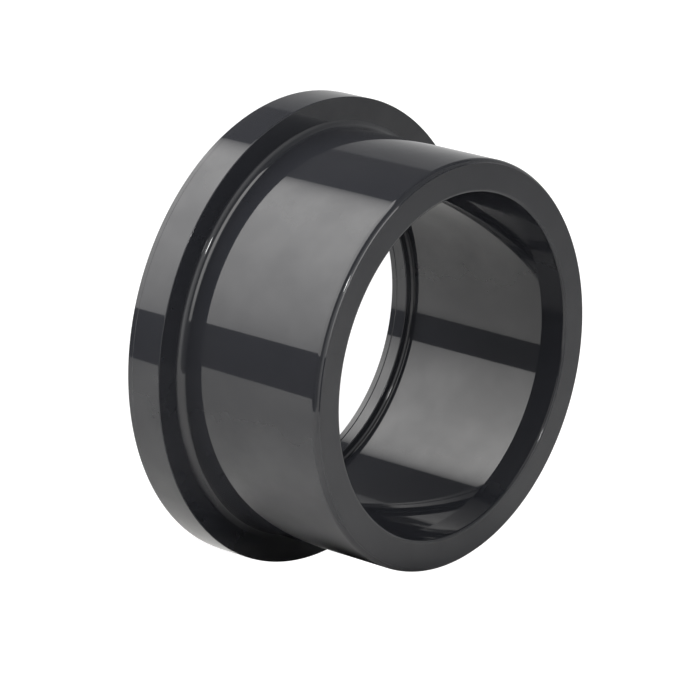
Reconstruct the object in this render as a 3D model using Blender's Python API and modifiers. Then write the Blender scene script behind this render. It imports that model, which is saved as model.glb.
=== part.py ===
"""Lap joint stub end: one moulded piece, turned about its own axis.

A pipe is cemented into the socket in the hub's open end. A loose backing ring slides over the hub and
bears on the collar, and the collar's far face is pressed against a gasket.

Metres, +Z up. The origin is the centre of the gasket face, and the hub points up.
"""

import math

import bpy

# Pipe socket, for a pipe of 90 mm outside diameter
SOCKET_DIAMETER = 0.09  # at its widest, where the lead-in starts
SOCKET_TAPER = 0.0002  # how much narrower the socket is at its bottom, on the diameter
SOCKET_DEPTH = 0.0516
SOCKET_CORNER_RADIUS = 0.001

# Lead-in, the flared part of the socket that guides the pipe in
LEAD_IN_DEPTH = 0.0073
LEAD_IN_WIDENING = 0.00064  # on the radius
MOUTH_EDGE_RADIUS = 0.0009

# Lip at the bottom of the socket, which stops the pipe
PIPE_STOP_WIDTH = 0.0029
PIPE_STOP_THICKNESS = 0.0051
PIPE_STOP_EDGE_BREAK = 0.0003

# Hub, the tube that the backing ring slides over
HUB_WALL = 0.0093  # beside the socket where the lead-in starts
HUB_EDGE_RADIUS = 0.0019
HUB_EDGE_TURN_DEGREES = 59.0  # how far the rounded edge turns before it meets the raised end face
END_FACE_RISE = 0.00036
END_FACE_DRAFT = 0.00013  # how much the raised end face narrows on its way up, on the radius

# Collar, which the backing ring presses against the gasket
COLLAR_LEDGE = 0.0082  # how far the collar stands out past the hub
COLLAR_THICKNESS = 0.0108
COLLAR_FRONT_EDGE_BREAK = 0.0002
COLLAR_BACK_EDGE_RADIUS = 0.0005
ROOT_FILLET_RADIUS = 0.0022

# Parting line of the mould: the insert that forms the gasket face meets the main cavity here
PARTING_HEIGHT = 0.0017
RIM_PARTING_STEP = 0.0001
BORE_PARTING_STEP = 0.0002
BORE_EDGE_BREAK = 0.0004

# Sealing grooves, concentric in the gasket face
GROOVE_PITCH = 0.003
GROOVE_WIDTH = 0.0016
GROOVE_DEPTH = 0.0008
GROOVE_FLOOR_WIDTH = 0.0003
SEALING_LAND = 0.004  # least plain ring left beside the grooves, at the bore and at the rim

# Radii and heights that follow from the sizes above
socket_radius = SOCKET_DIAMETER / 2
socket_root_radius = socket_radius - SOCKET_TAPER / 2
hub_radius = socket_radius + HUB_WALL
collar_radius = hub_radius + COLLAR_LEDGE
bore_radius = socket_root_radius - PIPE_STOP_WIDTH
overall_length = PIPE_STOP_THICKNESS + SOCKET_DEPTH

# Resolution: steps round the axis, and the angle that one segment of a rounded corner turns through
STEPS_ROUND_AXIS = 96
CORNER_SEGMENT_DEGREES = 15.0

MERGE_DISTANCE = 0.00001
PVC_COLOUR = (0.052, 0.054, 0.058, 1.0)
PVC_ROUGHNESS = 0.2


def clear_scene():
    for obj in list(bpy.data.objects):
        bpy.data.objects.remove(obj, do_unlink=True)


def corner(centre_radius, centre_height, corner_radius, start_degrees, end_degrees):
    """Points of a rounded corner of the section, from one direction about its centre to another."""
    segments = max(2, round(abs(end_degrees - start_degrees) / CORNER_SEGMENT_DEGREES))
    points = []
    for i in range(segments + 1):
        angle = math.radians(start_degrees + (end_degrees - start_degrees) * i / segments)
        points.append((
            centre_radius + corner_radius * math.cos(angle),
            centre_height + corner_radius * math.sin(angle),
        ))
    return points


def outer_side():
    """From the hub's end face down the hub, over the collar and down its rim, as (radius, height)."""
    shoulder_height = overall_length - END_FACE_RISE
    turn = math.radians(HUB_EDGE_TURN_DEGREES)
    shoulder_radius = hub_radius - HUB_EDGE_RADIUS * (1 - math.cos(turn))
    points = [(shoulder_radius - END_FACE_DRAFT, overall_length)]
    points += corner(
        hub_radius - HUB_EDGE_RADIUS, shoulder_height - HUB_EDGE_RADIUS * math.sin(turn),
        HUB_EDGE_RADIUS, HUB_EDGE_TURN_DEGREES, 0,
    )
    # The concave fillet at the root turns from straight down the hub to straight out along the collar
    points += corner(
        hub_radius + ROOT_FILLET_RADIUS, COLLAR_THICKNESS + ROOT_FILLET_RADIUS, ROOT_FILLET_RADIUS, 180, 270
    )
    points.append((collar_radius - COLLAR_FRONT_EDGE_BREAK, COLLAR_THICKNESS))
    points.append((collar_radius, COLLAR_THICKNESS - COLLAR_FRONT_EDGE_BREAK))
    points.append((collar_radius, PARTING_HEIGHT))
    # Below the parting line the rim is a hair smaller, and its edge is rounded
    insert_radius = collar_radius - RIM_PARTING_STEP
    points.append((insert_radius, PARTING_HEIGHT - RIM_PARTING_STEP))
    points += corner(
        insert_radius - COLLAR_BACK_EDGE_RADIUS, COLLAR_BACK_EDGE_RADIUS, COLLAR_BACK_EDGE_RADIUS, 0, -90
    )
    return points


def groove_radii():
    """Middle radii of the sealing grooves, outermost first: as many as fit, centred on the face."""
    face_width = collar_radius - bore_radius
    room = face_width - 2 * SEALING_LAND - GROOVE_WIDTH
    count = 1 + math.floor(room / GROOVE_PITCH)
    middle = (collar_radius + bore_radius) / 2
    return [middle + ((count - 1) / 2 - i) * GROOVE_PITCH for i in range(count)]


def gasket_face():
    """Across the gasket face from rim to bore. Each groove has sloping sides and a flat floor."""
    points = []
    for radius in groove_radii():
        points.append((radius + GROOVE_WIDTH / 2, 0.0))
        points.append((radius + GROOVE_FLOOR_WIDTH / 2, GROOVE_DEPTH))
        points.append((radius - GROOVE_FLOOR_WIDTH / 2, GROOVE_DEPTH))
        points.append((radius - GROOVE_WIDTH / 2, 0.0))
    return points


def inner_side():
    """Up through the bore, over the pipe stop, up the tapered socket and along its lead-in to the mouth."""
    points = [
        (bore_radius + BORE_EDGE_BREAK, 0.0),
        (bore_radius, BORE_EDGE_BREAK),
        (bore_radius, PARTING_HEIGHT),
        (bore_radius + BORE_PARTING_STEP, PARTING_HEIGHT + BORE_PARTING_STEP),
        (bore_radius + BORE_PARTING_STEP, PIPE_STOP_THICKNESS - PIPE_STOP_EDGE_BREAK),
        (bore_radius + BORE_PARTING_STEP + PIPE_STOP_EDGE_BREAK, PIPE_STOP_THICKNESS),
    ]
    points += corner(
        socket_root_radius - SOCKET_CORNER_RADIUS, PIPE_STOP_THICKNESS + SOCKET_CORNER_RADIUS,
        SOCKET_CORNER_RADIUS, -90, 0,
    )
    points.append((socket_radius, overall_length - LEAD_IN_DEPTH))
    # The mouth's edge rounds the corner that the lead-in would make with the end face
    flare = math.degrees(math.atan(LEAD_IN_WIDENING / LEAD_IN_DEPTH))
    edge_centre_radius = (
        socket_radius + LEAD_IN_WIDENING + MOUTH_EDGE_RADIUS * math.tan(math.radians((90 - flare) / 2))
    )
    points += corner(
        edge_centre_radius, overall_length - MOUTH_EDGE_RADIUS, MOUTH_EDGE_RADIUS, 180 - flare, 90
    )
    return points


def pvc_material():
    material = bpy.data.materials.new("grey_pvc")
    material.use_nodes = True
    shader = material.node_tree.nodes["Principled BSDF"]
    shader.inputs["Base Color"].default_value = PVC_COLOUR
    shader.inputs["Roughness"].default_value = PVC_ROUGHNESS
    shader.inputs["Metallic"].default_value = 0.0
    material.diffuse_color = PVC_COLOUR
    return material


def turned_piece(name, section, material, collection):
    """A closed section at +X, turned about Z by a Screw modifier."""
    mesh = bpy.data.meshes.new(name)
    vertices = [(radius, 0.0, height) for radius, height in section]
    edges = [(i, (i + 1) % len(section)) for i in range(len(section))]
    mesh.from_pydata(vertices, edges, [])
    mesh.materials.append(material)
    obj = bpy.data.objects.new(name, mesh)
    collection.objects.link(obj)

    screw = obj.modifiers.new("turn", "SCREW")
    screw.axis = "Z"
    screw.angle = math.tau
    screw.screw_offset = 0.0
    screw.steps = STEPS_ROUND_AXIS
    screw.render_steps = STEPS_ROUND_AXIS
    screw.use_merge_vertices = True
    screw.merge_threshold = MERGE_DISTANCE
    screw.use_smooth_shade = True
    # Flat faces keep their own normals, and only the rounded corners shade smoothly
    obj.modifiers.new("shading", "WEIGHTED_NORMAL")
    return obj


def main():
    clear_scene()
    collection = bpy.data.collections.new("lap_joint_stub_end")
    bpy.context.scene.collection.children.link(collection)
    section = outer_side() + gasket_face() + inner_side()
    turned_piece("stub_end", section, pvc_material(), collection)


main()
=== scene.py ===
# %% [markdown]
# # Lap joint stub end
#
# A grey plastic pipe fitting, moulded in one piece. A pipe is cemented into the socket in the hub's open
# end, and a loose backing ring slides over the hub and bears on the collar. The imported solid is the
# frame: it gives the sizes and the place, and the pieces made here are its finished surface, its light
# and its camera.

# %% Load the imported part
import math

import bpy
from mathutils import Euler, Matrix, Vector


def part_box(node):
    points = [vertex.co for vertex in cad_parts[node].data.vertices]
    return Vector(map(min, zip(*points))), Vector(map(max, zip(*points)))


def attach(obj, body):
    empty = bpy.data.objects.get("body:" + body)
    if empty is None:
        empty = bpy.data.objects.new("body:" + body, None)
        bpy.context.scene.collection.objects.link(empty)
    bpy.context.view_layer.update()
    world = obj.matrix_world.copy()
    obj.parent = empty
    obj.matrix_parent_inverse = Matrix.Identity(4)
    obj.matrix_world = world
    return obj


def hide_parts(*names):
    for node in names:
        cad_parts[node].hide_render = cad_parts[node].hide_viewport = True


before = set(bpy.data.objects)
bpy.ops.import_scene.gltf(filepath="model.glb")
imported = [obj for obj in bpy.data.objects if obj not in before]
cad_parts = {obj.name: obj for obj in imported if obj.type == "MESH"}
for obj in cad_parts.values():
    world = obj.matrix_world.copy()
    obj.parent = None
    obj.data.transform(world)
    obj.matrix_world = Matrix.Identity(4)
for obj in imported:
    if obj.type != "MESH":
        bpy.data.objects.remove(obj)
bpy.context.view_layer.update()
part_low, part_high = (Vector(corner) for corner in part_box("stub_end"))
part_height = part_high.z - part_low.z
print("part is", round(2000 * part_high.x, 1), "mm across and", round(1000 * part_height, 1), "mm long")

# %% [markdown]
# ## Sizes of the fitting
#
# A moulding is drawn as half of its section, so every size belongs to that section: the socket, the stop
# at its bottom, the hub's wall, the collar, and the small radii at the edges. The mouth flares in a short
# lead-in that a pipe finds easily, and the end face stands a little proud of a narrow shoulder, where two
# parts of the mould met. The sizes are kept in one table, in metres, because each becomes an input of the
# tree that makes the shape.

# %% Sizes of the section
SECTION_SIZES = {
    "Socket diameter": 0.09,
    "Socket taper": 0.0002,
    "Lead-in depth": 0.0073,
    "Lead-in widening": 0.00064,
    "Lead-in edge radius": 0.002,
    "Mouth edge radius": 0.0009,
    "Socket corner radius": 0.001,
    "Pipe stop width": 0.0029,
    "Pipe stop thickness": 0.0051,
    "Pipe stop edge radius": 0.0003,
    "Hub wall": 0.0093,
    "Hub edge radius": 0.00188,
    "Shoulder width": 0.00092,
    "Shoulder drop": 0.00055,
    "End face rise": 0.00036,
    "End face draft": 0.00013,
    "End face edge radius": 0.0001,
    "Root fillet radius": 0.0022,
    "Collar ledge": 0.0082,
    "Collar thickness": 0.0108,
    "Collar front edge radius": 0.00025,
    "Collar back edge radius": 0.0003,
    "Parting height": 0.0017,
    "Rim parting step": 0.0001,
    "Bore parting step": 0.0002,
    "Bore edge radius": 0.0004,
    "Groove pitch": 0.003,
    "Groove width": 0.0016,
    "Groove depth": 0.0008,
    "Groove floor width": 0.0003,
    "Sealing land": 0.004,
}
SECTION_SIZES["Overall length"] = part_height
STEPS_ROUND_AXIS = 256
CORNER_SEGMENTS = 10
print(len(SECTION_SIZES), "sizes, overall length", round(1000 * part_height, 2), "mm")

# %% [markdown]
# ## Helpers for node trees
#
# Node trees are long to write out link by link. These helpers add one node at a time and return its
# output, so that a tree reads like the sum it works out. A value that is a socket is linked, and any
# other value is typed into the socket.

# %% Helpers for node trees
def feed(tree, socket, value):
    if isinstance(value, bpy.types.NodeSocket):
        tree.links.new(value, socket)
    else:
        socket.default_value = value


def add_node(tree, kind, settings=None, **inputs):
    """A node with its settings, and its inputs fed by name, with _ for a space."""
    node = tree.nodes.new(kind)
    for name, value in (settings or {}).items():
        setattr(node, name, value)
    for name, value in inputs.items():
        feed(tree, node.inputs[name.replace("_", " ")], value)
    return node


def math_node(tree, operation, first, second=0.0):
    node = tree.nodes.new("ShaderNodeMath")
    node.operation = operation
    for socket, value in zip(node.inputs, (first, second)):
        feed(tree, socket, value)
    return node.outputs[0]


def total(tree, first, *rest):
    for value in rest:
        first = math_node(tree, "ADD", first, value)
    return first


def less(tree, first, *rest):
    for value in rest:
        first = math_node(tree, "SUBTRACT", first, value)
    return first


def half(tree, value):
    return math_node(tree, "MULTIPLY", value, 0.5)


def ramp(tree, value, start, end, first=0.0, last=1.0, kind="LINEAR"):
    """Goes from first to last while the value goes from start to end."""
    node = add_node(tree, "ShaderNodeMapRange", {"interpolation_type": kind}, Value=value,
                    From_Min=start, From_Max=end, To_Min=first, To_Max=last)
    return node.outputs[0]


def mix_values(tree, factor, first, second):
    node = add_node(tree, "ShaderNodeMix", {"data_type": "FLOAT"})
    for number, value in ((0, factor), (2, first), (3, second)):
        feed(tree, node.inputs[number], value)
    return node.outputs[0]


def mix_colours(tree, factor, first, second):
    node = add_node(tree, "ShaderNodeMix", {"data_type": "RGBA"})
    for number, value in ((0, factor), (6, first), (7, second)):
        feed(tree, node.inputs[number], value)
    return node.outputs[2]


print("helpers ready")

# %% [markdown]
# ## The section, corner by corner
#
# The real part comes out of a turned mould, so its shape follows a rule: a section swept round the axis.
# It could be modelled as a lathe object by hand, but then a change of wall or collar means moving points.
# Here each corner of the section is one vector worked out from the named sizes: its radius, its height,
# and how far the corner is rounded. The sealing grooves in the gasket face are four corners that repeat
# at a pitch, and their number follows from the width of the face.

# %% The tree's inputs
def section_tree():
    tree = bpy.data.node_groups.new("Turned stub end", "GeometryNodeTree")
    tree.is_modifier = True
    tree.interface.new_socket(name="Geometry", in_out="OUTPUT", socket_type="NodeSocketGeometry")
    for name, value in SECTION_SIZES.items():
        socket = tree.interface.new_socket(name=name, in_out="INPUT", socket_type="NodeSocketFloat")
        socket.default_value = value
        socket.subtype = "DISTANCE"
    for name, value in (("Steps round axis", STEPS_ROUND_AXIS), ("Corner segments", CORNER_SEGMENTS)):
        socket = tree.interface.new_socket(name=name, in_out="INPUT", socket_type="NodeSocketInt")
        socket.default_value = value
        socket.min_value = 3
    for name in ("Wall finish", "Face finish"):
        tree.interface.new_socket(name=name, in_out="INPUT", socket_type="NodeSocketMaterial")
    return tree


turned_tree = section_tree()
size = turned_tree.nodes.new("NodeGroupInput").outputs
print("inputs of the tree:", len(size) - 1)

# %% [markdown]
# Radii are worked out from the socket's wall inwards and outwards, and heights from the gasket face up,
# the way a mould maker would give them. So a thicker wall moves the collar out with it, and nothing else
# has to change.

# %% Radii and heights that follow from the sizes
def lengths_that_follow(tree):
    wall = half(tree, size["Socket diameter"])
    root = less(tree, wall, half(tree, size["Socket taper"]))
    hub = total(tree, wall, size["Hub wall"])
    bore = less(tree, root, size["Pipe stop width"])
    rim = total(tree, hub, size["Collar ledge"])
    rim_step = size["Rim parting step"]
    return {
        "wall": wall,
        "mouth": total(tree, wall, size["Lead-in widening"]),
        "lead_in": less(tree, size["Overall length"], size["Lead-in depth"]),
        "root": root,
        "hub": hub,
        "bore": bore,
        "upper_bore": total(tree, bore, size["Bore parting step"]),
        "rim": rim,
        "lower_rim": less(tree, rim, rim_step),
        "end": size["Overall length"],
        "end_foot": less(tree, hub, size["Shoulder width"]),
        "end_rim": less(tree, hub, size["Shoulder width"], size["End face draft"]),
        "shoulder": less(tree, size["Overall length"], size["End face rise"]),
        "hub_edge": less(tree, size["Overall length"], size["End face rise"], size["Shoulder drop"]),
        "collar": size["Collar thickness"],
        "parting": size["Parting height"],
        "stop": size["Pipe stop thickness"],
        "lower_parting": less(tree, size["Parting height"], rim_step, rim_step),
        "upper_parting": total(tree, size["Parting height"], size["Bore parting step"]),
    }


at = lengths_that_follow(turned_tree)
print("lengths worked out:", ", ".join(at))

# %% [markdown]
# The corners are listed in the order that a pencil would draw them: from the end face down the outside,
# across the gasket face, and up the inside. Where the two halves of the mould met, the rim and the bore
# step by a hair's breadth. A corner with no rounding stays sharp.

# %% The corners of the section
def corner_list(tree):
    """Outer side, one groove, and inner side, each corner as (radius, height, rounding)."""
    face_middle = half(tree, total(tree, at["rim"], at["bore"]))
    wide = half(tree, size["Groove width"])
    narrow = half(tree, size["Groove floor width"])
    outer = [
        (at["end_rim"], at["end"], size["End face edge radius"]),
        (at["end_foot"], at["shoulder"], 0.0),
        (at["hub"], at["hub_edge"], size["Hub edge radius"]),
        (at["hub"], at["collar"], size["Root fillet radius"]),
        (at["rim"], at["collar"], size["Collar front edge radius"]),
        (at["rim"], at["parting"], 0.0),
        (at["lower_rim"], at["lower_parting"], 0.0),
        (at["lower_rim"], 0.0, size["Collar back edge radius"]),
    ]
    groove = [
        (total(tree, face_middle, wide), 0.0, 0.0),
        (total(tree, face_middle, narrow), size["Groove depth"], 0.0),
        (less(tree, face_middle, narrow), size["Groove depth"], 0.0),
        (less(tree, face_middle, wide), 0.0, 0.0),
    ]
    inner = [
        (at["bore"], 0.0, size["Bore edge radius"]),
        (at["bore"], at["parting"], 0.0),
        (at["upper_bore"], at["upper_parting"], 0.0),
        (at["upper_bore"], at["stop"], size["Pipe stop edge radius"]),
        (at["root"], at["stop"], size["Socket corner radius"]),
        (at["wall"], at["lead_in"], size["Lead-in edge radius"]),
        (at["mouth"], at["end"], size["Mouth edge radius"]),
    ]
    return outer, groove, inner


outer_corners, groove_corners, inner_corners = corner_list(turned_tree)
print("corners outside", len(outer_corners), "and inside", len(inner_corners))
print("corners of one groove", len(groove_corners))

# %% [markdown]
# ## Repeating the grooves
#
# A groove is four corners long, and the corners of all the grooves come one after another along the
# section. So the number of a point along the section says which groove it is in, and which of the four
# corners it is. The first number moves the groove inwards by whole pitches, and the second picks the
# corner from the list.

# %% Which corner a point of the section is
def corner_of_each_point(tree):
    """Each point's corner as a vector, how far its groove is moved, and how many points there are."""
    before, repeat = len(outer_corners), len(groove_corners)
    face = less(tree, at["rim"], at["bore"])
    room = less(tree, face, size["Sealing land"], size["Sealing land"], size["Groove width"])
    pitches = math_node(tree, "FLOOR", math_node(tree, "DIVIDE", room, size["Groove pitch"]))
    grooves = total(tree, pitches, 1.0)
    groove_points = math_node(tree, "MULTIPLY", grooves, float(repeat))
    index = add_node(tree, "GeometryNodeInputIndex").outputs["Index"]
    along = less(tree, index, float(before))
    number = math_node(tree, "FLOOR", math_node(tree, "DIVIDE", along, float(repeat)))
    in_groove = math_node(tree, "FLOORED_MODULO", along, float(repeat))
    past_outer = math_node(tree, "GREATER_THAN", along, -0.5)
    past_grooves = math_node(tree, "GREATER_THAN", along, less(tree, groove_points, 0.5))
    groove_pick = pick(tree, past_outer, index, total(tree, in_groove, float(before)))
    inner_pick = less(tree, index, groove_points, -float(repeat))
    choice = pick(tree, past_grooves, groove_pick, inner_pick)
    corners = tree.nodes.new("GeometryNodeIndexSwitch")
    corners.data_type = "VECTOR"
    everything = outer_corners + groove_corners + inner_corners
    while len(corners.index_switch_items) < len(everything):
        corners.index_switch_items.new()
    feed(tree, corners.inputs[0], math_node(tree, "ROUND", choice))
    for slot_number, (radius, height, rounding) in enumerate(everything):
        corner = add_node(tree, "ShaderNodeCombineXYZ", X=radius, Y=height, Z=rounding)
        feed(tree, corners.inputs[slot_number + 1], corner.outputs[0])
    steps_in = less(tree, half(tree, less(tree, grooves, 1.0)), number)
    shift = math_node(tree, "MULTIPLY", steps_in, size["Groove pitch"])
    in_field = less(tree, past_outer, past_grooves)
    shift = math_node(tree, "MULTIPLY", shift, in_field)
    return corners.outputs[0], shift, total(tree, groove_points, float(before + len(inner_corners)))


def pick(tree, choice, if_false, if_true):
    node = add_node(tree, "GeometryNodeSwitch", {"input_type": "FLOAT"}, Switch=choice)
    feed(tree, node.inputs["False"], if_false)
    feed(tree, node.inputs["True"], if_true)
    return node.outputs[0]


corner_vector, groove_shift, point_count = corner_of_each_point(turned_tree)
print("corner chosen by point number")

# %% [markdown]
# ## Sweeping the section round the axis
#
# The points are strung on a curve, their corners are rounded, and the closed curve is swept along a
# circle. A sweep along a closed circle closes on itself, so there is no seam to weld. The circle needs
# some radius of its own, and the section is drawn from there, so that the radii come out from the axis.
# Edges that turn sharply stay sharp, and the flat faces are told from the walls by the way that they
# point.

# %% Sweep, shade and dress the section
SWEEP_RADIUS = 0.05
WELD_DISTANCE = 0.000001
SHARP_EDGE_ANGLE = math.radians(25)
FLAT_FACE_TURN = 0.999


def sweep_section(tree):
    string = add_node(tree, "GeometryNodeCurvePrimitiveLine")
    points = add_node(tree, "GeometryNodeResampleCurve", Curve=string.outputs[0], Count=point_count)
    split = add_node(tree, "ShaderNodeSeparateXYZ", Vector=corner_vector).outputs
    # The sweep lays a section's own x out from the circle and its own y down the axis
    place = add_node(
        tree, "ShaderNodeCombineXYZ",
        X=less(tree, total(tree, split["X"], groove_shift), SWEEP_RADIUS),
        Y=math_node(tree, "MULTIPLY", split["Y"], -1.0),
    )
    kept = add_node(tree, "GeometryNodeStoreNamedAttribute", {"data_type": "FLOAT", "domain": "POINT"},
                    Geometry=points.outputs[0], Name="rounding", Value=split["Z"])
    placed = add_node(tree, "GeometryNodeSetPosition", Geometry=kept.outputs[0], Position=place.outputs[0])
    closed = add_node(tree, "GeometryNodeSetSplineCyclic", Geometry=placed.outputs[0], Cyclic=True)
    rounding = add_node(tree, "GeometryNodeInputNamedAttribute", {"data_type": "FLOAT"}, Name="rounding")
    rounded = add_node(tree, "GeometryNodeFilletCurve", {"mode": "POLY"}, Curve=closed.outputs[0],
                       Count=size["Corner segments"], Radius=rounding.outputs[0])
    circle = add_node(tree, "GeometryNodeCurvePrimitiveCircle", {"mode": "RADIUS"},
                      Resolution=size["Steps round axis"], Radius=SWEEP_RADIUS)
    upright = add_node(tree, "GeometryNodeSetCurveNormal", {"mode": "Z_UP"}, Curve=circle.outputs[0])
    swept = add_node(tree, "GeometryNodeCurveToMesh", Curve=upright.outputs[0])
    feed(tree, swept.inputs["Profile Curve"], rounded.outputs[0])
    return swept.outputs[0]


def dress_faces(tree, mesh):
    welded = add_node(tree, "GeometryNodeMergeByDistance", Geometry=mesh, Distance=WELD_DISTANCE)
    smooth = add_node(tree, "GeometryNodeSetShadeSmooth", {"domain": "FACE"}, Geometry=welded.outputs[0])
    angle = add_node(tree, "GeometryNodeInputMeshEdgeAngle").outputs["Unsigned Angle"]
    sharp = math_node(tree, "GREATER_THAN", angle, SHARP_EDGE_ANGLE)
    shaded = add_node(tree, "GeometryNodeSetShadeSmooth", {"domain": "EDGE"},
                      Geometry=smooth.outputs[0], Selection=sharp)
    feed(tree, shaded.inputs["Shade Smooth"], False)
    normal = add_node(tree, "GeometryNodeInputNormal").outputs[0]
    facing = add_node(tree, "ShaderNodeSeparateXYZ", Vector=normal).outputs["Z"]
    place = add_node(tree, "GeometryNodeInputPosition").outputs[0]
    height = add_node(tree, "ShaderNodeSeparateXYZ", Vector=place).outputs["Z"]
    high = math_node(tree, "GREATER_THAN", height, at["shoulder"])
    upward = math_node(tree, "GREATER_THAN", facing, FLAT_FACE_TURN)
    end_face = math_node(tree, "MULTIPLY", high, upward)
    gasket_face = math_node(tree, "LESS_THAN", facing, -FLAT_FACE_TURN)
    flat = total(tree, end_face, gasket_face)
    solid = add_node(tree, "GeometryNodeRealizeInstances", Geometry=shaded.outputs[0])
    walls = add_node(tree, "GeometryNodeSetMaterial", Geometry=solid.outputs[0],
                     Material=size["Wall finish"])
    faces = add_node(tree, "GeometryNodeSetMaterial", Geometry=walls.outputs[0], Selection=flat,
                     Material=size["Face finish"])
    out = tree.nodes.new("NodeGroupOutput")
    feed(tree, out.inputs[0], faces.outputs[0])


dress_faces(turned_tree, sweep_section(turned_tree))
print("tree has", len(turned_tree.nodes), "nodes")

# %% [markdown]
# ## Plastic finishes
#
# Rigid PVC leaves a polished mould with a gloss that shows lamps as sharp-edged patches, and it is never
# quite even: pigment drifts in soft clouds, and the polish of the mould varies a little. The end and
# gasket faces come off a mould face that was left finely textured, so they shine less. Hands leave a thin
# film in smears, which mirrors a little more than the bare plastic. Both finishes share one group that
# gives the clouded colour, the uneven polish, the film and a height for the fine texture, each with its
# own strengths.

# %% A group for moulded plastic
CLOUD_CONTRAST = (0.3, 0.7)
SMEAR_CONTRAST = (0.38, 0.66)
PATCHES_PER_CLOUD = 2.0
SMEARS_PER_CLOUD = 1.3


def group_with(name, inputs, outputs):
    tree = bpy.data.node_groups.new(name, "ShaderNodeTree")
    for label, kind, value in inputs:
        socket = tree.interface.new_socket(name=label, in_out="INPUT", socket_type=kind)
        socket.default_value = value
    for label, kind in outputs:
        tree.interface.new_socket(name=label, in_out="OUTPUT", socket_type=kind)
    return tree, tree.nodes.new("NodeGroupInput").outputs, tree.nodes.new("NodeGroupOutput").inputs


def moulded_surface_group():
    tree, given, result = group_with(
        "Moulded surface",
        [
            ("Colour", "NodeSocketColor", (0.5, 0.5, 0.5, 1.0)),
            ("Cloud tint", "NodeSocketColor", (0.5, 0.5, 0.5, 1.0)),
            ("Cloud size", "NodeSocketFloat", 0.02),
            ("Polish", "NodeSocketFloat", 0.05),
            ("Polish spread", "NodeSocketFloat", 0.02),
            ("Grain size", "NodeSocketFloat", 0.0005),
            ("Handling film", "NodeSocketFloat", 0.1),
        ],
        [
            ("Colour", "NodeSocketColor"),
            ("Roughness", "NodeSocketFloat"),
            ("Grain height", "NodeSocketFloat"),
            ("Film", "NodeSocketFloat"),
        ],
    )
    place = tree.nodes.new("ShaderNodeTexCoord").outputs["Object"]
    clouds = add_node(tree, "ShaderNodeTexNoise", Vector=place, Detail=3.0, Roughness=0.55,
                      Scale=math_node(tree, "DIVIDE", 1.0, given["Cloud size"]))
    cloud = ramp(tree, clouds.outputs[0], *CLOUD_CONTRAST)
    feed(tree, result["Colour"], mix_colours(tree, cloud, given["Colour"], given["Cloud tint"]))
    patches = add_node(tree, "ShaderNodeTexNoise", Vector=place, Detail=4.0,
                       Scale=math_node(tree, "DIVIDE", PATCHES_PER_CLOUD, given["Cloud size"]))
    spread = math_node(tree, "MULTIPLY", less(tree, patches.outputs[0], 0.5), given["Polish spread"])
    feed(tree, result["Roughness"], total(tree, given["Polish"], spread))
    grain = add_node(tree, "ShaderNodeTexNoise", Vector=place, Detail=2.0,
                     Scale=math_node(tree, "DIVIDE", 1.0, given["Grain size"]))
    feed(tree, result["Grain height"], grain.outputs[0])
    smears = add_node(tree, "ShaderNodeTexNoise", Vector=place, Detail=4.0, Roughness=0.6,
                      Scale=math_node(tree, "DIVIDE", SMEARS_PER_CLOUD, given["Cloud size"]))
    film = ramp(tree, smears.outputs[0], *SMEAR_CONTRAST)
    feed(tree, result["Film"], math_node(tree, "MULTIPLY", film, given["Handling film"]))
    return tree


moulded_surface = moulded_surface_group()
print("group", moulded_surface.name, "has", len(moulded_surface.nodes), "nodes")

# %% [markdown]
# The polished finish covers every wall, and the textured one the end face and the gasket face. The
# plastic is a blue grey that is nearly black, and it shines as bare PVC does, without paint or varnish.

# %% The two finishes
PVC_GREY = (0.0176, 0.0186, 0.0224, 1.0)
PVC_GREY_CLOUD = (0.0203, 0.0211, 0.0248, 1.0)
PVC_CLOUD_SIZE = 0.02
PVC_IOR = 1.5


def pvc_finish(name, polish, polish_spread, grain_size, grain_depth, handling_film):
    material = bpy.data.materials.new(name)
    material.use_nodes = True
    tree = material.node_tree
    shader = tree.nodes["Principled BSDF"]
    shader.inputs["IOR"].default_value = PVC_IOR
    surface = tree.nodes.new("ShaderNodeGroup")
    surface.node_tree = moulded_surface
    given = {
        "Colour": PVC_GREY,
        "Cloud tint": PVC_GREY_CLOUD,
        "Cloud size": PVC_CLOUD_SIZE,
        "Polish": polish,
        "Polish spread": polish_spread,
        "Grain size": grain_size,
        "Handling film": handling_film,
    }
    for label, value in given.items():
        surface.inputs[label].default_value = value
    feed(tree, shader.inputs["Base Color"], surface.outputs["Colour"])
    feed(tree, shader.inputs["Roughness"], surface.outputs["Roughness"])
    feed(tree, shader.inputs["Coat Weight"], surface.outputs["Film"])
    shader.inputs["Coat Roughness"].default_value = polish
    bump = add_node(tree, "ShaderNodeBump", Height=surface.outputs["Grain height"], Strength=1.0,
                    Distance=grain_depth)
    feed(tree, shader.inputs["Normal"], bump.outputs[0])
    material.diffuse_color = PVC_GREY
    return material


polished_pvc = pvc_finish("polished_grey_pvc", polish=0.045, polish_spread=0.02, grain_size=0.004,
                          grain_depth=0.0000015, handling_film=0.22)
textured_pvc = pvc_finish("textured_grey_pvc", polish=0.22, polish_spread=0.06, grain_size=0.0003,
                          grain_depth=0.000004, handling_film=0.1)
print("finishes", polished_pvc.name, textured_pvc.name)

# %% [markdown]
# ## The moulded piece
#
# The tree is set on an object as a modifier, its inputs are typed in by their identifiers, and the result
# is taken as a plain mesh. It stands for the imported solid, and it rides on the same body. Weighted
# normals keep the broad walls and faces true beside the small radii, so that what they mirror isn't bent
# near their edges.

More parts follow.
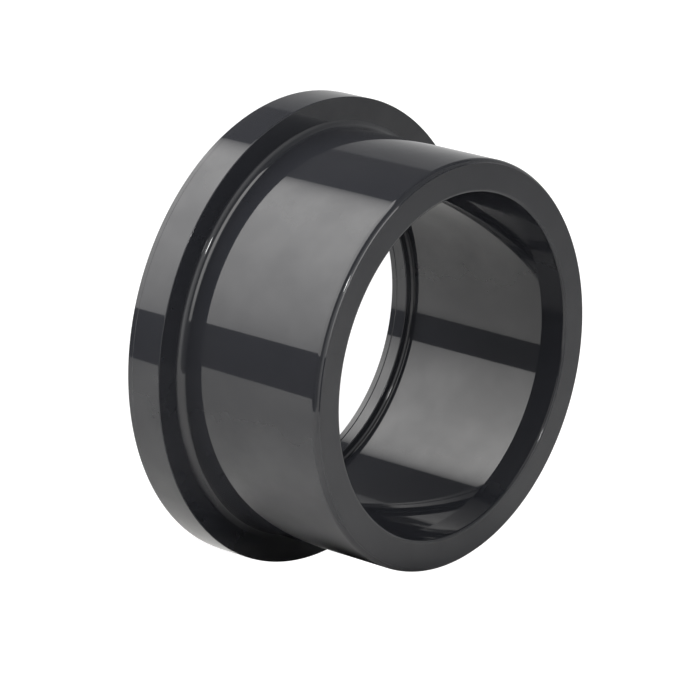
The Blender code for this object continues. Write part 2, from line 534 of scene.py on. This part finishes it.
# %% Make the piece from the tree
def made_by(tree, name, values):
    """A plain mesh object at the origin, made by the tree with these inputs."""
    carrier = bpy.data.objects.new(name + "_carrier", bpy.data.meshes.new(name + "_carrier"))
    bpy.context.scene.collection.objects.link(carrier)
    modifier = carrier.modifiers.new("tree", "NODES")
    modifier.node_group = tree
    for socket in tree.interface.items_tree:
        if socket.item_type == "SOCKET" and socket.in_out == "INPUT" and socket.name in values:
            modifier[socket.identifier] = values[socket.name]
    evaluated = carrier.evaluated_get(bpy.context.evaluated_depsgraph_get())
    mesh = bpy.data.meshes.new_from_object(evaluated)
    mesh.name = name
    bpy.data.objects.remove(carrier, do_unlink=True)
    piece = bpy.data.objects.new(name, mesh)
    bpy.context.scene.collection.objects.link(piece)
    return piece


tree_values = dict(SECTION_SIZES)
tree_values["Steps round axis"] = STEPS_ROUND_AXIS
tree_values["Corner segments"] = CORNER_SEGMENTS
tree_values["Wall finish"] = polished_pvc
tree_values["Face finish"] = textured_pvc
moulding = made_by(turned_tree, "moulded_stub_end", tree_values)
true_normals = moulding.modifiers.new("true normals", "WEIGHTED_NORMAL")
true_normals.keep_sharp = True
triangles = sum(len(face.vertices) - 2 for face in moulding.data.polygons)
print(moulding.name, len(moulding.data.vertices), "vertices,", triangles, "triangles")
print("across", round(1000 * moulding.dimensions.x, 2), "mm")
print("long", round(1000 * moulding.dimensions.z, 2), "mm")

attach(moulding, "root")
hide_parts("stub_end")

# %% [markdown]
# ## Camera
#
# The photograph was taken with a long lens, a little over a metre from the part, looking 39 degrees down
# on the open end. The fitting lies on its side in it, so the camera is rolled until the axis runs to the
# right.

# %% Camera
CAMERA_PLACE = (0.0, -0.858393, 0.692133)
CAMERA_TURN_DEGREES = (-18.5227, -49.5321, 113.5824)
LENS_MM = 214.193
SENSOR_MM = 36.0
NEAREST_SEEN = 0.05

camera_data = bpy.data.cameras.new("photo_camera")
camera_data.lens = LENS_MM
camera_data.sensor_width = SENSOR_MM
camera_data.clip_start = NEAREST_SEEN
camera = bpy.data.objects.new("photo_camera", camera_data)
camera.location = CAMERA_PLACE
camera.rotation_euler = Euler([math.radians(a) for a in CAMERA_TURN_DEGREES], "XYZ")
bpy.context.scene.collection.objects.link(camera)
bpy.context.scene.camera = camera
print("camera", round(Vector(CAMERA_PLACE).length, 3), "m from the part, lens", LENS_MM, "mm")

# %% [markdown]
# ## Studio light
#
# The plastic is nearly black, so what shows its form is what it mirrors. The far parts of the studio are
# built into the world: a white sweep that is brightest low down and ends in an edge near its top, a dark
# half towards the camera, and a plain ceiling over all of it. Each is a patch of direction with its own
# brightness. A camera ray sees plain white instead, which is the photograph's background.

# %% Directions and levels in the studio
TABLE_UP = Vector((-0.972, -0.157, -0.181)).normalized()
SWEEP_LOW_LEVEL = 0.7
SWEEP_HIGH_LEVEL = 0.29
SWEEP_HEIGHT = 0.74
SWEEP_EDGE = (0.71, 0.735)
DARK_LEVEL = 0.12
DARK_HALF_EDGE = (-0.45, -0.35)
DARK_CORNER = Vector((-0.453, -0.785, 0.423)).normalized()
CEILING_SPREAD = (-0.4, 0.85)
CEILING_PALE_LEVEL = 0.62
CEILING_DARK_LEVEL = 0.2
CEILING_EDGE = (0.11, 0.17)
OVERHEAD_SPREAD = (0.62, 1.0)
OVERHEAD_LEVEL = 1.2
print("the sweep's edge is", round(math.degrees(math.asin(SWEEP_EDGE[0]))), "degrees above the table")

# %% [markdown]
# Directions are told apart by how far they point along a chosen way: up from the table, into the dark
# corner behind the camera, or along the part's own axes. A soft step between two such numbers is a soft
# edge in what the plastic mirrors.

# %% The world
def along_direction(tree, ray, direction):
    node = add_node(tree, "ShaderNodeVectorMath", {"operation": "DOT_PRODUCT"})
    feed(tree, node.inputs[0], ray)
    node.inputs[1].default_value = direction
    return node.outputs["Value"]


def studio_level(tree, ray):
    """How bright the studio is in the direction of the ray."""
    toward = add_node(tree, "ShaderNodeSeparateXYZ", Vector=ray).outputs
    height = along_direction(tree, ray, TABLE_UP)
    # The sweep is bright at the table and dimmer higher up, and over its edge the studio is dark
    level = ramp(tree, height, 0.0, SWEEP_HEIGHT, SWEEP_LOW_LEVEL, SWEEP_HIGH_LEVEL)
    over = ramp(tree, height, *SWEEP_EDGE, kind="SMOOTHSTEP")
    sweep = mix_values(tree, over, level, DARK_LEVEL)
    # The half of the studio towards the camera is dark above the table
    front = ramp(tree, toward["Y"], *DARK_HALF_EDGE, 1.0, 0.0, kind="SMOOTHSTEP")
    sky = mix_values(tree, front, sweep, DARK_LEVEL)
    # The ceiling is dark behind the camera and paler away from it
    corner = along_direction(tree, ray, DARK_CORNER)
    ceiling = ramp(tree, corner, *CEILING_SPREAD, CEILING_PALE_LEVEL, CEILING_DARK_LEVEL)
    # It is brightest where the open end looks straight at it
    overhead = ramp(tree, toward["Z"], *OVERHEAD_SPREAD, 0.0, OVERHEAD_LEVEL)
    above = ramp(tree, toward["Z"], *CEILING_EDGE, kind="SMOOTHSTEP")
    return mix_values(tree, above, sky, total(tree, ceiling, overhead))


def studio_world():
    world = bpy.data.worlds.new("studio")
    world.use_nodes = True
    tree = world.node_tree
    tree.nodes.clear()
    studio = studio_level(tree, tree.nodes.new("ShaderNodeTexCoord").outputs["Generated"])
    white = tree.nodes.new("ShaderNodeLightPath").outputs["Is Camera Ray"]
    light = add_node(tree, "ShaderNodeBackground", Strength=mix_values(tree, white, studio, 1.0))
    light.inputs["Color"].default_value = (1.0, 1.0, 1.0, 1.0)
    out = tree.nodes.new("ShaderNodeOutputWorld")
    feed(tree, out.inputs["Surface"], light.outputs[0])
    return world


bpy.context.scene.world = studio_world()
print("world has", len(bpy.context.scene.world.node_tree.nodes), "nodes")

# %% [markdown]
# A small bare lamp high above the open end puts the short bright glints on the rounded edges. A sun lamp
# gives the same direction everywhere, and its angle is the size of the lamp as the part sees it.

# %% The small lamp
LAMP_TOWARDS = Vector((-0.295, -0.352, 0.889)).normalized()
LAMP_WIDTH_DEGREES = 6.0
LAMP_STRENGTH = 0.3

lamp_data = bpy.data.lights.new("small_lamp", "SUN")
lamp_data.angle = math.radians(LAMP_WIDTH_DEGREES)
lamp_data.energy = LAMP_STRENGTH
lamp = bpy.data.objects.new("small_lamp", lamp_data)
lamp.rotation_euler = LAMP_TOWARDS.to_track_quat("Z", "Y").to_euler()
bpy.context.scene.collection.objects.link(lamp)
print("lamp stands", round(math.degrees(math.asin(LAMP_TOWARDS.z))), "degrees up")

# %% [markdown]
# ## Floor
#
# The part stands on a plain pale floor, which keeps a faint shadow. To a camera ray most of the floor's
# white is its own, so the background stays even. It isn't mirrored in the plastic, which mirrors the
# studio instead.

# %% Floor
FLOOR_HALF_WIDTH = 6.0
FLOOR_DROP = 0.0001
FLOOR_MATT = (0.3, 0.3, 0.3, 1.0)
FLOOR_OWN_WHITE = 0.97


def pale_floor_material():
    material = bpy.data.materials.new("pale_floor")
    material.use_nodes = True
    tree = material.node_tree
    tree.nodes.clear()
    matt = add_node(tree, "ShaderNodeBsdfDiffuse", Color=FLOOR_MATT)
    own = add_node(tree, "ShaderNodeEmission", Color=(1.0, 1.0, 1.0, 1.0), Strength=FLOOR_OWN_WHITE)
    both = tree.nodes.new("ShaderNodeAddShader")
    feed(tree, both.inputs[0], matt.outputs[0])
    feed(tree, both.inputs[1], own.outputs[0])
    choose = tree.nodes.new("ShaderNodeMixShader")
    feed(tree, choose.inputs[0], tree.nodes.new("ShaderNodeLightPath").outputs["Is Camera Ray"])
    feed(tree, choose.inputs[1], matt.outputs[0])
    feed(tree, choose.inputs[2], both.outputs[0])
    out = tree.nodes.new("ShaderNodeOutputMaterial")
    feed(tree, out.inputs["Surface"], choose.outputs[0])
    return material


floor_mesh = bpy.data.meshes.new("floor")
floor_corners = [
    (x * FLOOR_HALF_WIDTH, y * FLOOR_HALF_WIDTH, -FLOOR_DROP)
    for x, y in ((-1, -1), (1, -1), (1, 1), (-1, 1))
]
floor_mesh.from_pydata(floor_corners, [], [(0, 1, 2, 3)])
floor_mesh.materials.append(pale_floor_material())
floor = bpy.data.objects.new("floor", floor_mesh)
bpy.context.scene.collection.objects.link(floor)
floor.visible_glossy = False
floor.visible_diffuse = False
floor.visible_shadow = False
print("floor laid")

# %% [markdown]
# ## Soft box and white table
#
# Two props stand so close that different sides of the part mirror them in different places, so they are
# real cards and not part of the world. The camera doesn't see either card.

# %% Cards
def staged_card(name, corners, shader, place=(0.0, 0.0, 0.0), turn=0.0):
    """A flat card with its own finish, in the studio and not part of the model."""
    material = bpy.data.materials.new(name)
    material.use_nodes = True
    tree = material.node_tree
    tree.nodes.clear()
    out = tree.nodes.new("ShaderNodeOutputMaterial")
    feed(tree, out.inputs["Surface"], shader(tree))
    mesh = bpy.data.meshes.new(name)
    mesh.from_pydata(corners, [], [tuple(range(len(corners)))])
    mesh.materials.append(material)
    card = bpy.data.objects.new(name, mesh)
    card.location = place
    card.rotation_euler.z = turn
    bpy.context.scene.collection.objects.link(card)
    card.visible_camera = False


print("cards are flat pieces with a finish of their own")

# %% [markdown]
# The soft box is a flat panel with one corner cut off, brightest near its middle. It stands beside the
# fitting and reaches a long way past the gasket face. It runs between two points of the plan, and its
# light falls off with the square of the distance from the hot spot.

# %% Soft box
BOX_END = Vector((-0.601, -0.091))
BOX_OTHER_END = Vector((0.057, -0.296))
BOX_BOTTOM = -0.9
BOX_CUT_FOOT = -0.4
BOX_TOP = 0.105
BOX_CUT_WIDTH = 0.235
BOX_WHITE = (1.0, 0.99, 0.975, 1.0)
BOX_HOT_SPOT = 0.38
BOX_BRIGHTNESS = 3.9
BOX_DIMMING = 5.5

box_line = BOX_OTHER_END - BOX_END
box_width = box_line.length


def box_shader(tree):
    place = tree.nodes.new("ShaderNodeTexCoord").outputs["Object"]
    across = add_node(tree, "ShaderNodeSeparateXYZ", Vector=place).outputs["X"]
    off = less(tree, across, BOX_HOT_SPOT)
    dimming = math_node(tree, "MULTIPLY", math_node(tree, "MULTIPLY", off, off), BOX_DIMMING)
    strength = math_node(tree, "MULTIPLY", less(tree, 1.0, dimming), BOX_BRIGHTNESS)
    return add_node(tree, "ShaderNodeEmission", Color=BOX_WHITE, Strength=strength).outputs[0]


box_outline = [
    (0.0, 0.0, BOX_BOTTOM),
    (box_width, 0.0, BOX_BOTTOM),
    (box_width, 0.0, BOX_TOP),
    (BOX_CUT_WIDTH, 0.0, BOX_TOP),
    (0.0, 0.0, BOX_CUT_FOOT),
]
staged_card("soft_box", box_outline, box_shader, place=(BOX_END.x, BOX_END.y, 0.0),
            turn=math.atan2(box_line.y, box_line.x))
print("soft box", round(100 * box_width), "cm wide")

# %% [markdown]
# The white table is where the fitting lay when it was photographed. The soft box lights it, the fitting's
# own shadow falls on it, and its slanted edge is a short way in front. Its colour is painted whiter past
# the open end, which is painted light, and painted nearly black around where the hub rests on it, which is
# a painted contact shadow. Past the open end and far away it has a faint emission, painted light that
# stands in for light from the rest of the room.

# %% Table
TABLE_DISTANCE = 0.0636
TABLE_WHITE = (0.71, 0.71, 0.7, 1.0)
# Painted light: the table's colour is whiter past the open end, standing in for more light there
TABLE_WHITE_PAINTED_LIGHT_AHEAD = (0.955, 0.95, 0.94, 1.0)
PAINTED_LIGHT_AHEAD_FROM_TO = (-0.01, 0.04)
# Painted contact shadow: a nearly black colour around where the hub rests
PAINTED_CONTACT_SHADOW = (0.1, 0.1, 0.1, 1.0)
PAINTED_SHADOW_Y = 0.008
PAINTED_SHADOW_Z = 0.040
PAINTED_SHADOW_SPREAD = (0.006, 0.024)
# Painted light: a faint emission past the open end and far away, standing in for room light
PAINTED_TABLE_GLOW = 0.12
PAINTED_GLOW_AHEAD_FROM_TO = (0.05, 0.09)
PAINTED_GLOW_BEYOND_FROM_TO = (0.25, 0.8)
TABLE_EDGE_AT_PART = -0.141
TABLE_EDGE_SLANT = 0.42
TABLE_REACH = 0.9


def on_table(y, z):
    """The point of the table's plane with this y and z."""
    return ((-TABLE_DISTANCE - TABLE_UP.y * y - TABLE_UP.z * z) / TABLE_UP.x, y, z)


def table_shader(tree):
    spot = tree.nodes.new("ShaderNodeTexCoord").outputs["Object"]
    place = add_node(tree, "ShaderNodeSeparateXYZ", Vector=spot).outputs
    # Painted light: the colour turns whiter past the open end
    painted_light_ahead = ramp(tree, place["Z"], *PAINTED_LIGHT_AHEAD_FROM_TO)
    white = mix_colours(tree, painted_light_ahead, TABLE_WHITE, TABLE_WHITE_PAINTED_LIGHT_AHEAD)
    # Painted contact shadow: the colour goes nearly black near where the hub rests
    from_painted_shadow = add_node(tree, "ShaderNodeVectorMath", {"operation": "DISTANCE"})
    feed(tree, from_painted_shadow.inputs[0], spot)
    from_painted_shadow.inputs[1].default_value = on_table(PAINTED_SHADOW_Y, PAINTED_SHADOW_Z)
    clear = ramp(tree, from_painted_shadow.outputs["Value"], *PAINTED_SHADOW_SPREAD, kind="SMOOTHSTEP")
    shaded = mix_colours(tree, clear, PAINTED_CONTACT_SHADOW, white)
    # Painted light: a faint emission past the open end and far away
    painted_glow_ahead = ramp(tree, place["Z"], *PAINTED_GLOW_AHEAD_FROM_TO)
    painted_glow_beyond = ramp(tree, place["Y"], *PAINTED_GLOW_BEYOND_FROM_TO)
    painted_glow = math_node(tree, "MULTIPLY", math_node(tree, "MAXIMUM", painted_glow_ahead, painted_glow_beyond), PAINTED_TABLE_GLOW)
    both = tree.nodes.new("ShaderNodeAddShader")
    feed(tree, both.inputs[0], add_node(tree, "ShaderNodeBsdfDiffuse", Color=shaded).outputs[0])
    feed(tree, both.inputs[1], add_node(tree, "ShaderNodeEmission", Strength=painted_glow).outputs[0])
    return both.outputs[0]


near_edge = [
    on_table(TABLE_EDGE_AT_PART + TABLE_EDGE_SLANT * z, z)
    for z in (-TABLE_REACH, TABLE_REACH)
]
far_edge = [on_table(TABLE_REACH, z) for z in (TABLE_REACH, -TABLE_REACH)]
staged_card("white_table", near_edge + far_edge, table_shader)
print("table", round(1000 * TABLE_DISTANCE, 1), "mm from the axis")

# %% [markdown]
# ## Colours
#
# Colours are shown as they are worked out, with no film look laid over them.

# %% Colour management
bpy.context.scene.view_settings.view_transform = "Standard"
